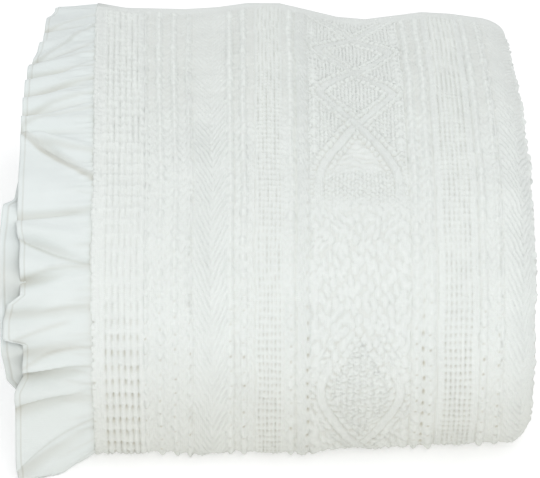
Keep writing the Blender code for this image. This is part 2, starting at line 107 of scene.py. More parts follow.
def smooth_line(rows, steps):
    """A soft curve through the rows, as many short straight steps."""
    rows = np.array(rows, float)
    padded = np.vstack([rows[:1], rows, rows[-1:]])
    t = (np.arange(steps) / steps)[:, None]
    line = []
    for a, b, c, d in zip(padded, padded[1:], padded[2:], padded[3:]):
        value = 2 * b + (c - a) * t + (2 * a - 5 * b + 4 * c - d) * t ** 2
        line.append(0.5 * (value + (3 * b - a - 3 * c + d) * t ** 3))
    return np.vstack(line + [rows[-1:]])


def noise(c, u, size, seed):
    """A soft random field from -1 to 1 over the cloth, with lumps of this size."""
    grid = np.random.default_rng(seed).uniform(-1, 1, (61, 67))
    gc = np.asarray(c / size + 7.3)
    gu = np.asarray(u / size + 3.1)
    i = np.floor(gc).astype(int)
    j = np.floor(gu).astype(int)
    a = gc - i
    b = gu - j
    a = a * a * (3 - 2 * a)
    b = b * b * (3 - 2 * b)
    near = grid[i % 61, j % 67] * (1 - a) + grid[(i + 1) % 61, j % 67] * a
    far = grid[i % 61, (j + 1) % 67] * (1 - a) + grid[(i + 1) % 61, (j + 1) % 67] * a
    return near * (1 - b) + far * b


def off(v, pitch):
    """Signed distance to the nearest whole multiple of the pitch."""
    return (v + pitch / 2) % pitch - pitch / 2


def rod(d, half):
    """Round profile, 1 high in the middle and 0 from this half width on."""
    return np.sqrt(np.clip(1 - (d / half) ** 2, 0, None))


def chance(k, seed):
    """A steady value from 0 to 1 for each whole number."""
    value = np.sin(k * 12.9898 + seed * 78.233) * 43758.5453
    return value - np.floor(value)


# The bundle's form

LINE = smooth_line(OUTLINE, OUTLINE_STEPS)
TOP_LINE = LINE[(LINE[:, 0] >= FRONT_CENTRE) & (LINE[:, 1] > HALF_STACK)][::-1]
UNDERSIDE = LENGTH_HEIGHT / 2 - FACE - HIDDEN_RELIEF


def stacked(y, z):
    """Height in the bundle behind its front."""
    share = (np.interp(y, TOP_LINE[:, 0], TOP_LINE[:, 1]) - UNDERSIDE) / (STACK_HEIGHT - UNDERSIDE)
    return UNDERSIDE + (z - UNDERSIDE) * share


CENTRE_HEIGHT = float(stacked(FRONT_CENTRE, HALF_STACK))
FRONT = np.vstack([
    [(FRONT_CENTRE, stacked(FRONT_CENTRE, STACK_HEIGHT))],
    LINE[LINE[:, 0] < FRONT_CENTRE],
    [(FRONT_CENTRE, stacked(FRONT_CENTRE, 0.0))],
])
FRONT_LENGTH = np.concatenate([[0.0], np.cumsum(np.hypot(*np.diff(FRONT, axis=0).T))])


def shaped(y, z, low):
    """Bends the plain stack into the bundle: domed top, full front, thinner back."""
    dy = FRONT_CENTRE - y
    dz = z - HALF_STACK
    share = np.clip(np.arctan2(dy, dz) / math.pi, 0, 1)
    py = np.interp(share * FRONT_LENGTH[-1], FRONT_LENGTH, FRONT[:, 0])
    pz = np.interp(share * FRONT_LENGTH[-1], FRONT_LENGTH, FRONT[:, 1])
    k = np.hypot(dy, dz) / HALF_STACK
    bell = low * soft_step(*LOW_EDGE_RISE, share) * (1.0 - soft_step(*LOW_EDGE_FALL, share))
    py = py - LOW_EDGE[0] * bell
    pz = pz - LOW_EDGE[1] * bell * np.clip(pz / LOW_EDGE_FLOOR, 0, 1)
    front = y < FRONT_CENTRE
    return (
        np.where(front, FRONT_CENTRE + (py - FRONT_CENTRE) * k, y),
        np.where(front, CENTRE_HEIGHT + (pz - CENTRE_HEIGHT) * k, stacked(y, z)),
    )


def path_point(s):
    """Middle of the strip at path length s, and the way its face looks."""
    h = LENGTH_HEIGHT
    a = (s - ENDS[0]) / OUTER_RADIUS
    b = (s - ENDS[2]) / SMALL_RADIUS
    c = (s - ENDS[4]) / SMALL_RADIUS
    cases = [s <= end for end in ENDS[:6]]
    zero = np.zeros_like(s)
    y = np.select(cases, [
        TOP_BACK - s, FRONT_CENTRE - OUTER_RADIUS * np.sin(a), FRONT_CENTRE + s - ENDS[1],
        BACK_FOLD + SMALL_RADIUS * np.sin(b), BACK_FOLD - (s - ENDS[3]),
        FRONT_CENTRE - SMALL_RADIUS * np.sin(c),
    ], FRONT_CENTRE + s - ENDS[5])
    z = np.select(cases, [
        zero + 3.5 * h, HALF_STACK + OUTER_RADIUS * np.cos(a), zero + 0.5 * h,
        h - SMALL_RADIUS * np.cos(b), zero + 1.5 * h, HALF_STACK - SMALL_RADIUS * np.cos(c),
    ], 2.5 * h)
    ny = np.select(cases, [zero, -np.sin(a), zero, np.sin(b), zero, np.sin(c)], 0.0)
    nz = np.select(cases, [zero + 1, np.cos(a), zero - 1, -np.cos(b), zero + 1, np.cos(c)], -1.0)
    return y, z, ny, nz


def place(x, s, n):
    """Point in the frame, in metres, of x across the width, s along the path and n off the strip."""
    x, s, n = np.broadcast_arrays(np.asarray(x, float), np.asarray(s, float), np.asarray(n, float))
    y, z, ny, nz = path_point(s)
    low = 1.0 - soft_step(*LOW_EDGE_SIDE, x)
    y = y + n * ny
    z = z + n * nz
    py, pz = shaped(y, z, low)
    fade = SWELL_LEAST + (1.0 - SWELL_LEAST) * soft_step(*SWELL_BACK, y)
    fade = fade * soft_step(*SWELL_FRONT, y) * soft_step(*SWELL_HEIGHTS, z)
    pz = pz + table(SWELL, x) * fade
    depth = np.clip((py - FRONT_CENTRE) / SPREAD_LENGTH, 0.0, SPREAD_LIMIT)
    side = np.clip((SPREAD_SIDE[0] - x) / (SPREAD_SIDE[0] - SPREAD_SIDE[1]), 0, 1)
    px = x - BACK_SPREAD * depth * side
    pz = np.maximum(pz, SHIFT[2] + 0.02)
    return (np.stack([px, py, pz], axis=-1) - SHIFT) * MM


# Cloth length u along the shaped face, against path length s.
S_STEPS = np.linspace(0.0, ENDS[1], 2000)
_y, _z, _ny, _nz = path_point(S_STEPS)
_py, _pz = shaped(_y + _ny * OUTER_RADIUS / 3, _z + _nz * OUTER_RADIUS / 3, 0.0)
U_STEPS = np.concatenate([[0.0], np.cumsum(np.hypot(np.diff(_py), np.diff(_pz)))])
HIDDEN_LENGTH = 1000.0


def cloth_length(s):
    """Cloth length at path length s, set apart beyond the shaped face."""
    return np.where(s <= ENDS[1], np.interp(s, S_STEPS, U_STEPS), HIDDEN_LENGTH + s)


def path_of(u):
    return np.interp(u, U_STEPS, S_STEPS)


# Raised pattern of the face. Each stripe function takes the distance across from its left edge and
# the cloth length, and gives the height and how open the cloth is there, which is also painted as shade.

ROW = 16.0
HALF_ROW = ROW / 2
# How deep the holes are cut and how dark their painted shade is where the cloth lies flat, and where it
# bends round the front and the holes face down into shade.
LEAST_HOLE_SHARE = 0.22
HOLE_DEPTH_AND_SHADE_RISE = (600.0, 690.0)
# Strength of the narrow grooves between bead columns, by cloth length, their depth and shade.
GROOVE_SHARE = [(0, 0.95), (330, 1.0), (450, 0.65), (600, 0.45), (680, 0.5), (760, 0.7), (900, 0.7)]
GROOVE_CUT = 1.3
GROOVE_SHADE = 0.3
# Where the slot under each bar opens and closes, as shares of a row, and its depth.
SLOT_OPENS = (0.14, 0.3)
SLOT_CLOSES = (0.42, 0.8)
SLOT_CUT = 2.0
# Bead height for which these depths hold, and the cloth over which the ribs flatten out.
BEAD_HEIGHT = 3.6
RIBS_FLATTEN = (330.0, 560.0)


def hole_depth_and_shade(u):
    """How deep the holes are cut and how dark their painted shade is: both grow where the cloth bends
    round the front and the holes face down into shade.
    """
    return LEAST_HOLE_SHARE + (1 - LEAST_HOLE_SHARE) * soft_step(*HOLE_DEPTH_AND_SHADE_RISE, u)


def bead_band(d, u, left, pitch, columns, row, height, bar, slot=1.0):
    """Columns of round ribs with narrow open slots between them under a bar at every row."""
    right = left + pitch * columns
    inside = soft_step(left - 1.0, left + 1.0, d) * (1 - soft_step(right - 1.0, right + 1.0, d))
    place_in = off(d - left, pitch)
    column = np.floor((d - left) / pitch)
    k = np.floor(u / row)
    vary = chance(column + 31 * k, 3)
    rib = rod(place_in, pitch * 0.5)
    high_up = 1 - soft_step(*RIBS_FLATTEN, u)
    below = (u % row) / row
    knot = np.exp(-(np.minimum(below, 1 - below) / bar) ** 2)
    from_slot = (np.abs(place_in) - pitch / 2) / slot
    gap = np.exp(-from_slot ** 2) * soft_step(*SLOT_OPENS, below) * (1 - soft_step(*SLOT_CLOSES, below))
    gap = gap * (0.42 + 0.34 * vary) * inside * hole_depth_and_shade(u)
    groove = np.exp(-(from_slot / 0.8) ** 2) * table(GROOVE_SHARE, u) * (1 - 0.5 * knot) * inside
    high = height * (0.34 + 0.4 * rib + (0.55 + 0.2 * high_up * rib) * knot * (0.6 + 0.5 * vary))
    plain = height * (0.8 + 0.2 * knot) * (0.6 + 0.4 * rib)
    high = high * inside + plain * (1 - inside)
    cut = height / BEAD_HEIGHT
    high = high - (SLOT_CUT * gap + GROOVE_CUT * groove) * cut
    return high, np.maximum(gap, GROOVE_SHADE * groove) * cut


def bobbles(d, u, first, pitch, half, length, height, seed, base=0.6):
    """A column of uneven round beads on a thin cord, and the small hole under each bead."""
    k = np.round((u - first) / pitch)
    du = u - first - k * pitch + 2.2 * (chance(k, seed) - 0.5)
    dd = d + 0.9 * (chance(k, seed + 1) - 0.5)
    size = 0.78 + 0.44 * chance(k, seed + 2)
    bead = np.sqrt(np.clip(1 - (du / (length * size)) ** 2 - (dd / (half * size)) ** 2, 0, None))
    cord_part = base * rod(d, half * 0.8)
    hole = np.exp(-(dd / 1.1) ** 2 - ((du - length - 1.4) / 1.7) ** 2) * (0.3 + 0.7 * chance(k, seed + 3))
    return height * np.maximum(bead * size, cord_part), hole


def twisted(d, u, half, height, pitch, slope):
    """A twisted rope: steep ribs across a round cord."""
    groove = np.abs(np.cos(np.pi * (u - slope * d) / pitch)) ** 0.9
    return height * (0.5 + 0.5 * rod(d, half)) * (0.66 + 0.34 * groove)


# Cloth over which pointed ribs rise to full height.
RIBS_RISE = (330.0, 440.0)


def ribs(d, u, half, height, pitch=12.0, slope=2.6, point=1.0):
    """Ribs that run to a point in the middle, down for 1 and up for -1, with narrow grooves."""
    bend = 0.12 * d ** 2 / half
    phase = u + point * (slope * np.abs(d) - bend) + 2.2 * noise(d, u, 13.0, 31)
    k = np.floor(phase / pitch)
    groove = np.abs(np.sin(np.pi * phase / pitch)) ** 0.8
    shape = np.clip(1 - (np.abs(d) / half) ** 5, 0, None) ** 0.5
    middle = 1 - 0.25 * np.exp(-(d / 1.3) ** 2)
    uneven = 0.7 + 0.3 * chance(k + 50 * np.sign(d), 9) + 0.25 * noise(d, u, 19.0, 32)
    strength = 0.5 + 0.5 * soft_step(*RIBS_RISE, u)
    return height * strength * shape * middle * (0.3 + 0.7 * groove * uneven)


def ovals(d, u, first, height):
    """A column of long smooth ovals with small beads between them."""
    pitch = 4 * ROW
    du = off(u - first, pitch)
    long = np.sqrt(np.clip(1 - (du / 19.5) ** 2 - (d / 4.6) ** 2, 0, None))
    beads = np.zeros_like(long)
    for at in (-32.0, -24.0, 24.0, 32.0):
        bead = 1 - ((du - at) / 4.0) ** 2 - (d / 3.6) ** 2
        beads = np.maximum(beads, np.sqrt(np.clip(bead, 0, None)))
    return height * np.maximum(long, 0.9 * beads)


def seeds(x, u, wide, long, height, tilt, seed, spread=0.4):
    """A field of small seeds that lie at slightly different angles, one in each cell."""
    best = np.zeros_like(x)
    i = np.floor(x / wide)
    j = np.floor(u / long)
    for di in (-1, 0, 1):
        for dj in (-1, 0, 1):
            key = (i + di) + 57 * (j + dj)
            brick = 0.5 * long * ((i + di) % 2)
            px = (i + di + 0.5 + spread * (chance(key, seed) - 0.5)) * wide
            pu = (j + dj + 0.25 + spread * (chance(key, seed + 1) - 0.5)) * long + brick
            angle = tilt * (chance(key, seed + 2) - 0.5)
            dx = (x - px) * np.cos(angle) + (u - pu) * np.sin(angle)
            du = (u - pu) * np.cos(angle) - (x - px) * np.sin(angle)
            seed_here = 1 - (dx / (0.56 * wide)) ** 2 - (du / (0.44 * long)) ** 2
            best = np.maximum(best, np.sqrt(np.clip(seed_here, 0, None)))
    return height * best


def braid(d, u):
    """A wide braid: ribs to a point, a column of ovals on its left and of beads on its right."""
    high = 0.5 + ribs(d - 21.0, u, 18.5, 3.4)
    high = np.maximum(high, ovals(d + 1.0, u, 535.0, 5.0))
    bead, hole = bobbles(d - 38.6, u, 3.0, ROW, 3.6, 6.0, 5.2, 4)
    oval_hole = np.exp(-((d + 1.0) / 1.2) ** 2 - (off(u - 563.0, 4 * ROW) / 1.8) ** 2)
    return np.maximum(high, bead), np.maximum(hole, oval_hole)


CORD_STEP = 42.7 / 3
RIB_GROUND = 0.8


def cord_group(d, u, bead_height, rib_half, rib_height, points, seed):
    """Four bead cords side by side, with pointed ribs between them."""
    parts = []
    for i in range(4):
        parts.append(bobbles(d - i * CORD_STEP, u, 1.0 + 5 * i, ROW, 3.5, 5.6, bead_height, seed + i))
    for i, point in enumerate(points):
        middle = d - (i + 0.5) * CORD_STEP
        band = ribs(middle, u + 4 * i, rib_half, rib_height, 12.0, 2.4, point)
        parts.append((RIB_GROUND + band, np.zeros_like(d)))
    return parts


# Where the two broad bands cross, the slope that they part at, and how much of them shows.
CROSSINGS = [-37.0, 103.0, 243.0, 383.0, 641.0, 803.0, 1036.0]
BAND_SLOPES = [(0, 0.58), (382, 0.58), (384, 0.463), (640, 0.463), (642, 0.57), (1100, 0.57)]
BANDS_SHOWN = [(0, 1.0), (465, 1.0), (520, 0.15), (560, 0.0), (690, 0.0), (730, 0.9), (1100, 1.0)]
LOOPS_SHOWN = [(0, 1.0), (430, 1.0), (490, 0.4), (530, 0.0), (640, 0.0), (665, 0.9), (1100, 1.0)]
DIAMOND_MIDDLE = 47.5
DIAMOND_LIMIT = 38.5
BAND_ROUNDING = 4.0
LOOP_OFFSET = 7.9
BAND_HALF = 4.3
# What fills the stripe: arcs inside the wide diamond, then loose cords, then seeds in the last one.
ARCS_START = (392.0, 412.0)
ARCS_END = (465.0, 480.0)
CORDS_START = (500.0, 540.0)
SEEDS_START = 641.0
SEEDS_LIMIT = 27.5
LOOP_HEIGHT = 3.8


def diamond_bands(u):
    """Half distance between the two bands, and the slope that they run at."""
    half = np.full_like(u, 1e9)
    steep = table(BAND_SLOPES, u)
    for cross in CROSSINGS:
        half = np.minimum(half, np.abs(u - cross) * steep)
    soft = BAND_ROUNDING
    rounded = -soft * np.log(np.exp(-half / soft) + np.exp(-DIAMOND_LIMIT / soft))
    slope = steep / (1 + np.exp((half - DIAMOND_LIMIT) / soft))
    return np.maximum(rounded, 0.0), slope


def diamonds(d, u):
    """Two broad bands that part and cross on a field of dots, arcs, loose cords and seeds."""
    x = d - DIAMOND_MIDDLE
    half, slope = diamond_bands(u)
    lean = 1 / np.sqrt(1 + slope ** 2)
    drift = noise(x, u, 9.0, 8)
    dots = 1.1 + seeds(x, u, 3.7, 6.8, 2.0, 0.2, 11, 0.12)
    arcs = 1.9 + 0.45 * np.cos(2 * np.pi * (u - 0.02 * x ** 2 + 4.0 * drift) / 9.0)
    arcs = arcs * (0.85 + 0.25 * noise(x, u, 6.0, 12))
    inside = soft_step(*ARCS_START, u) * (1 - soft_step(*ARCS_END, u))
    high = np.where(np.abs(x) < half, dots * (1 - inside) + arcs * inside, dots)
    wave = x + 2.6 * np.sin(u / 15.0 + 2.0 * noise(x, u, 60.0, 9)) + drift
    cords = 1.3 + seeds(wave, u, 6.0, 15.0, 2.2, 0.8, 13)
    loose = soft_step(*CORDS_START, u)
    high = high * (1 - loose) + cords * loose
    seeded = np.minimum(half - LOOP_OFFSET - 2.0, SEEDS_LIMIT)
    coarse = 1.3 + seeds(x, u, 6.0, 4.6, 2.6, 1.2, 15)
    high = np.where((np.abs(x) < seeded) & (u > SEEDS_START), coarse, high)
    # Loops stand along both sides of each band and big beads along the stripe's edges.
    shown = table(LOOPS_SHOWN, u)
    k = np.round(u / HALF_ROW)
    step = off(u, HALF_ROW)
    for side in (-1, 1):
        for where in (-LOOP_OFFSET, LOOP_OFFSET):
            q = (x - side * half) * lean - where
            size = 0.8 + 0.35 * chance(k + side * 17 + where, 5)
            slant = step * lean + q * side * 0.35
            loop = np.sqrt(np.clip(1 - (q / 3.7) ** 2 - (slant / 2.8) ** 2, 0, None))
            high = np.where(np.abs(q) < 3.9, high * (1 - 0.5 * shown), high)
            high = np.maximum(high, LOOP_HEIGHT * size * shown * loop)
    shown = table(BANDS_SHOWN, u)
    for edge in (-1, 1):
        room = np.maximum(soft_step(12.0, 16.0, DIAMOND_MIDDLE - 4.8 - half), 1 - shown)
        bead, _ = bobbles(x - edge * (DIAMOND_MIDDLE - 5.2), u, 2.0, ROW, 4.4, 5.2, 3.8, 7 + edge, 0.3)
        high = np.maximum(high, bead * room)
    # The bands themselves: the one that runs down to the right lies on top at the wide crossing.
    section = np.zeros_like(u)
    for k, cross in enumerate(CROSSINGS):
        section = np.where(u > cross, k, section)
    sign = np.where(section % 2 == 0, -1.0, 1.0)
    for over, lift in ((-1, 2.4), (1, 3.1)):
        q = (x - over * sign * half) * lean
        grooves = 0.68 + 0.32 * np.abs(np.cos(np.pi * (q + 0.35 * drift) / 2.9)) ** 0.6
        band = shown * lift * grooves * np.clip(1.3 - (q / BAND_HALF) ** 4, 0, 1) ** 0.5
        band = band + (1 - shown) * high
        valley = np.exp(-((np.abs(q) - BAND_HALF - 0.6) / 0.8) ** 2)
        high = np.where(np.abs(q) < BAND_HALF + 0.2, band, high * (1 - 0.35 * shown * valley))
    return high


# Stripes of the face: the left and right edge of each, across the cloth.
STRIPES = {
    "first beads": (0.0, 50.4),
    "three cords": (50.4, 93.1),
    "braid": (93.1, 135.9),
    "single cord": (135.9, 154.9),
    "second beads": (154.9, 181.5),
    "thin cord": (181.5, 194.5),
    "rope": (194.5, 207.1),
    "diamonds": (207.1, 302.1),
    "two cords": (302.1, 327.8),
    "third beads": (327.8, 366.7),
    "last cord": (366.7, 387.6),
    "right braid": (387.6, 430.4),
    "side cords": (430.4, 473.1),
    "side beads": (473.1, 523.5),
}
LEAST_HEIGHT = 1.3
# Holes open only in ground that is lower than this, and they cut into it.
OPEN_UNDER = 4.4
HOLE_CUT = 1.4
# Ground lower than this height is shaded, more with its depth, up to a limit.
SHADE_UNDER = 1.7
SHADE_DEPTH = 4.0
SHADE_LIMIT = 0.28
# How high the relief stands, by cloth length, and how much lower it is pressed on the right side.
RELIEF_SHARE = [(0, 1.35), (330, 1.4), (450, 1.35), (560, 1.15), (650, 0.95), (720, 0.9), (800, 1.0)]
PRESSED_SIDE = (402.0, 424.0)
PRESSED_SHARE = 0.4
# Uneven lumps of the cloth: height, size and seed.
LUMPS = [(0.55, 2.8, 5), (0.75, 6.5, 6), (1.4, 36.0, 7)]


def relief(c, u):
    """Height of the face over the cloth, and how open it is, painted as shade in holes, grooves and low
    ground, for arrays of cloth coordinates.
    """
    c = c + 0.9 * noise(c, u, 42.0, 1) + 0.35 * noise(c, u, 11.0, 2)
    u = u + 1.6 * noise(c, u, 55.0, 3) + 0.7 * noise(c, u, 14.0, 4)
    zero = np.zeros_like(c)
    high = np.zeros_like(c)
    hole = np.zeros_like(c)

    def put(name, value, gap=zero):
        """Fills one stripe, a little lower along its edges."""
        left, right = STRIPES[name]
        here = (c >= left) & (c < right)
        edge = np.minimum(c - left, right - c)
        valley = 0.84 + 0.16 * soft_step(-0.2, 1.4, edge)
        high[here] = (value * valley)[here]
        hole[here] = (gap * valley)[here]

    def put_highest(name, parts):
        """Fills a stripe with the highest of several parts and the deepest of their holes."""
        value = np.maximum.reduce([part[0] for part in parts])
        value = np.maximum(value, LEAST_HEIGHT)
        gap = np.maximum.reduce([part[1] for part in parts]) * hole_depth_and_shade(u)
        gap = gap * np.clip(OPEN_UNDER - value, 0, 1)
        put(name, value - HOLE_CUT * gap, gap)

    def within(name):
        return c - STRIPES[name][0]

    def rib_band(at, half, height, pitch, slope, point, ground=RIB_GROUND):
        return ground + ribs(c - at, u, half, height, pitch, slope, point), zero

    put_highest("first beads", [
        bead_band(c, u, 10.6, 6.0, 6, ROW, 3.6, 0.2),
        bobbles(c - 2.2, u, 3.0, HALF_ROW, 3.0, 4.2, 4.0, 70),
    ])
    put_highest("three cords", cord_group(within("three cords"), u, 5.4, 5.4, 1.9, (-1.0, 1.0, 1.0), 20))
    put_highest("braid", [braid(within("braid"), u)])
    put_highest("single cord", [
        bobbles(c - 144.5, u, 5.0, ROW, 3.6, 5.6, 5.4, 30),
        rib_band(138.0, 3.6, 1.6, 12.0, 2.4, 1.0),
        rib_band(151.0, 3.6, 1.6, 12.0, 2.4, -1.0),
    ])
    put("second beads", *bead_band(within("second beads"), u, 2.4, 3.8, 6, HALF_ROW, 2.3, 0.24, 0.8))
    put_highest("thin cord", [
        bobbles(c - 189.0, u, 9.0, ROW, 3.8, 5.4, 4.8, 34),
        rib_band(184.0, 2.6, 1.4, 8.0, 2.0, 1.0, ground=1.0),
    ])
    edge_holes = np.exp(-((c - 204.8) / 1.1) ** 2 - (off(u - 7.0, ROW) / 2.2) ** 2)
    put_highest("rope", [(twisted(c - 200.8, u, 5.6, 4.7, ROW, 4.6), edge_holes)])
    put("diamonds", diamonds(within("diamonds"), u))
    middle_holes = np.exp(-((c - 314.4) / 1.2) ** 2 - (off(u, ROW) / 2.6) ** 2)
    put_highest("two cords", [
        bobbles(c - 308.0, u, 4.0, ROW, 4.0, 6.0, 5.0, 40),
        bobbles(c - 321.2, u, 11.0, ROW, 4.0, 6.0, 5.0, 43),
        rib_band(314.4, 12.0, 1.1, 12.0, 2.4, 1.0, ground=1.0),
        (zero, middle_holes),
    ])
    put("third beads", *bead_band(within("third beads"), u, 5.2, 4.75, 6, HALF_ROW, 2.7, 0.22))
    put_highest("last cord", [
        bobbles(c - 371.4, u, 5.0, ROW, 3.8, 5.6, 5.0, 50),
        rib_band(379.5, 5.0, 1.7, 12.0, 2.4, 1.0),
        bobbles(c - 385.6, u, 13.0, ROW, 3.0, 4.6, 4.4, 53),
    ])
    put_highest("right braid", [braid(within("right braid"), u + 6.0)])
    put_highest("side cords", cord_group(within("side cords"), u, 5.2, 5.2, 1.8, (1.0, 1.0, 1.0), 60))
    put("side beads", *bead_band(within("side beads"), u, 4.0, 6.0, 7, ROW, 3.4, 0.2))
    # Low ground gets painted shade as well, carried with the holes.
    hole = np.maximum(hole, np.clip((SHADE_UNDER - high) / SHADE_DEPTH, 0, SHADE_LIMIT))
    high *= table(RELIEF_SHARE, u) * (1 - PRESSED_SHARE * soft_step(*PRESSED_SIDE, c))
    for height, size, seed in LUMPS:
        high += height * noise(c, u, size, seed)
    return high, hole


# Meshes

def grid_faces(rows, columns, flip=False):
    """Quads of a grid of points stored row by row."""
    i = np.arange(rows - 1)[:, None] * columns + np.arange(columns - 1)[None, :]
    quads = np.stack([i, i + 1, i + columns + 1, i + columns], axis=-1).reshape(-1, 4)
    return quads[:, ::-1] if flip else quads


def volume(points, triangles):
    """Signed volume inside a closed set of triangles."""
    p, q, r = (points[triangles[:, i]] for i in range(3))
    return float(np.einsum("ij,ij->i", p, np.cross(q, r)).sum()) / 6


def mesh_object(name, points, quads, attributes, material, triangles=(), closed=False):
    """A smooth mesh from arrays, with named values at its points."""
    points = np.ascontiguousarray(points, np.float64)
    triangles = np.array(triangles, int).reshape(-1, 3)
    if closed:
        halves = np.vstack([quads[:, (0, 1, 2)], quads[:, (0, 2, 3)], triangles])
        if volume(points, halves) < 0:
            quads = quads[:, ::-1]
            triangles = triangles[:, ::-1]
    starts = np.concatenate([
        np.arange(len(quads)) * 4, quads.size + np.arange(len(triangles)) * 3,
    ])
    corners = np.concatenate([quads.ravel(), triangles.ravel()])
    mesh = bpy.data.meshes.new(name)
    mesh.vertices.add(len(points))
    mesh.vertices.foreach_set("co", points.astype(np.float32).ravel())
    mesh.loops.add(len(corners))
    mesh.loops.foreach_set("vertex_index", corners.astype(np.int32))
    mesh.polygons.add(len(starts))
    mesh.polygons.foreach_set("loop_start", starts.astype(np.int32))
    mesh.update(calc_edges=True)
    mesh.shade_smooth()
    for key, values in attributes.items():
        kind = "FLOAT_VECTOR" if values.ndim == 2 else "FLOAT"
        field = "vector" if values.ndim == 2 else "value"
        layer = mesh.attributes.new(key, kind, "POINT")
        layer.data.foreach_set(field, np.ascontiguousarray(values, np.float32).ravel())
    mesh.materials.append(material)
    made = bpy.data.objects.new(name, mesh)
    bpy.context.collection.objects.link(made)
    return made


# Materials

def node(tree, kind, **values):
    """A new node, with its sockets and settings."""
    made = tree.nodes.new(kind)
    for key, value in values.items():
        if key in made.inputs:
            made.inputs[key].default_value = value
        else:
            setattr(made, key, value)
    return made


def set_inputs(made, values):
    """Sets several sockets of a node."""
    for key, value in values.items():
        made.inputs[key].default_value = value


# Scale of the fuzz and of the tint of both cloths, and how dark the tint gets.
FUZZ_SCALE = 1400.0
TINT_SCALE = 18.0
TINT_LEAST = 0.965


def cloth_material(name, light, dark, weave, weave_depth, roughness, sheen):
    """Cotton: colour from light on the ridges to a warm painted shade in the holes and hollows, fine weave
    and fuzz as bump.
    """
    material = bpy.data.materials.new(name)
    material.use_nodes = True
    tree = material.node_tree
    link = tree.links.new
    shader = tree.nodes["Principled BSDF"]
    finish = {"Roughness": roughness, "Sheen Weight": sheen, "Sheen Roughness": 0.6}
    set_inputs(shader, {**finish, "Specular IOR Level": 0.25})
    cloth = node(tree, "ShaderNodeAttribute", attribute_name="cloth")
    painted_shade = node(tree, "ShaderNodeAttribute", attribute_name="painted_shade")
    tint = node(tree, "ShaderNodeTexNoise", Scale=TINT_SCALE, Detail=3.0)
    link(cloth.outputs["Vector"], tint.inputs["Vector"])
    # The painted shade value mixes the cloth's own colour towards the warm dark shade colour.
    mix = node(tree, "ShaderNodeMix", data_type="RGBA", A=(*light, 1.0), B=(*dark, 1.0))
    link(painted_shade.outputs["Fac"], mix.inputs["Factor"])
    vary = node(tree, "ShaderNodeMix", data_type="RGBA", blend_type="MULTIPLY", Factor=1.0)
    ramp = node(tree, "ShaderNodeMapRange")
    set_inputs(ramp, {"From Min": 0.3, "From Max": 0.7, "To Min": TINT_LEAST, "To Max": 1.0})
    link(tint.outputs["Fac"], ramp.inputs["Value"])
    link(mix.outputs["Result"], vary.inputs["A"])
    link(ramp.outputs["Result"], vary.inputs["B"])
    link(vary.outputs["Result"], shader.inputs["Base Color"])
    warp = node(tree, "ShaderNodeTexWave", wave_type="BANDS", bands_direction="X", Scale=weave)
    weft = node(tree, "ShaderNodeTexWave", wave_type="BANDS", bands_direction="Y", Scale=weave)
    for wave in (warp, weft):
        set_inputs(wave, {"Distortion": 1.2, "Detail": 2.0, "Detail Scale": 1.5})
        link(cloth.outputs["Vector"], wave.inputs["Vector"])
    cross = node(tree, "ShaderNodeMath", operation="MULTIPLY")
    link(warp.outputs["Fac"], cross.inputs[0])
    link(weft.outputs["Fac"], cross.inputs[1])
    fuzz = node(tree, "ShaderNodeTexNoise", Scale=FUZZ_SCALE, Detail=2.0)
    link(cloth.outputs["Vector"], fuzz.inputs["Vector"])
    total = node(tree, "ShaderNodeMath", operation="ADD")
    link(cross.outputs["Value"], total.inputs[0])
    link(fuzz.outputs["Fac"], total.inputs[1])
    bump = node(tree, "ShaderNodeBump", Strength=0.6, Distance=weave_depth)
    link(total.outputs["Value"], bump.inputs["Height"])
    link(bump.outputs["Normal"], shader.inputs["Normal"])
    return material


pique = cloth_material(
    "pique", light=(0.803, 0.834, 0.806), dark=(0.53, 0.505, 0.415),
    weave=160.0, weave_depth=0.0005, roughness=0.9, sheen=0.15,
)
lawn = cloth_material(
    "lawn", light=(0.778, 0.826, 0.812), dark=(0.56, 0.555, 0.49),
    weave=300.0, weave_depth=0.0002, roughness=0.8, sheen=0.1,
)


# The patterned face and the folded cloth under it

HEM_FADE = (25.0, 40.0)
PATTERN_FADE = (0.90, 0.98)


def pattern_share(s):
    """How much of the pattern stands: none in the hem and under the front."""
    share = (s - ENDS[0]) / OUTER_TURN
    return soft_step(*HEM_FADE, s) * (1.0 - soft_step(*PATTERN_FADE, share))


def face_points(c, s, extra):
    """Points of the face over cloth coordinates, wrapped round the right fold."""
    over = np.clip(c - RIGHT_FOLD, 0, None) / FACE
    n = (FACE + extra) * np.cos(over)
    x = np.minimum(c, RIGHT_FOLD) + (FACE + extra) * np.sin(over)
    return place(x, s, n)


# The face is three strips that meet between stripes. It has painted shade low at the front, darker and
# warmer where it turns under.
FRONT_SHADE = 0.34
FRONT_SHADE_RISE = (640.0, 810.0)
FACE_FIRST = 18.0
FACE_LAST = 0.93
FACE_SIDE = RIGHT_FOLD + 57.0
FACE_SEAMS = (0.0, 154.9, 302.1, FACE_SIDE)
COLUMN_STEP = 1.12
ROW_STEP = 1.27
# The left edge turns down into the ruffle's seam, with small knots along it.
EDGE_TURN = 3.4
EDGE_KNOT = 1.1


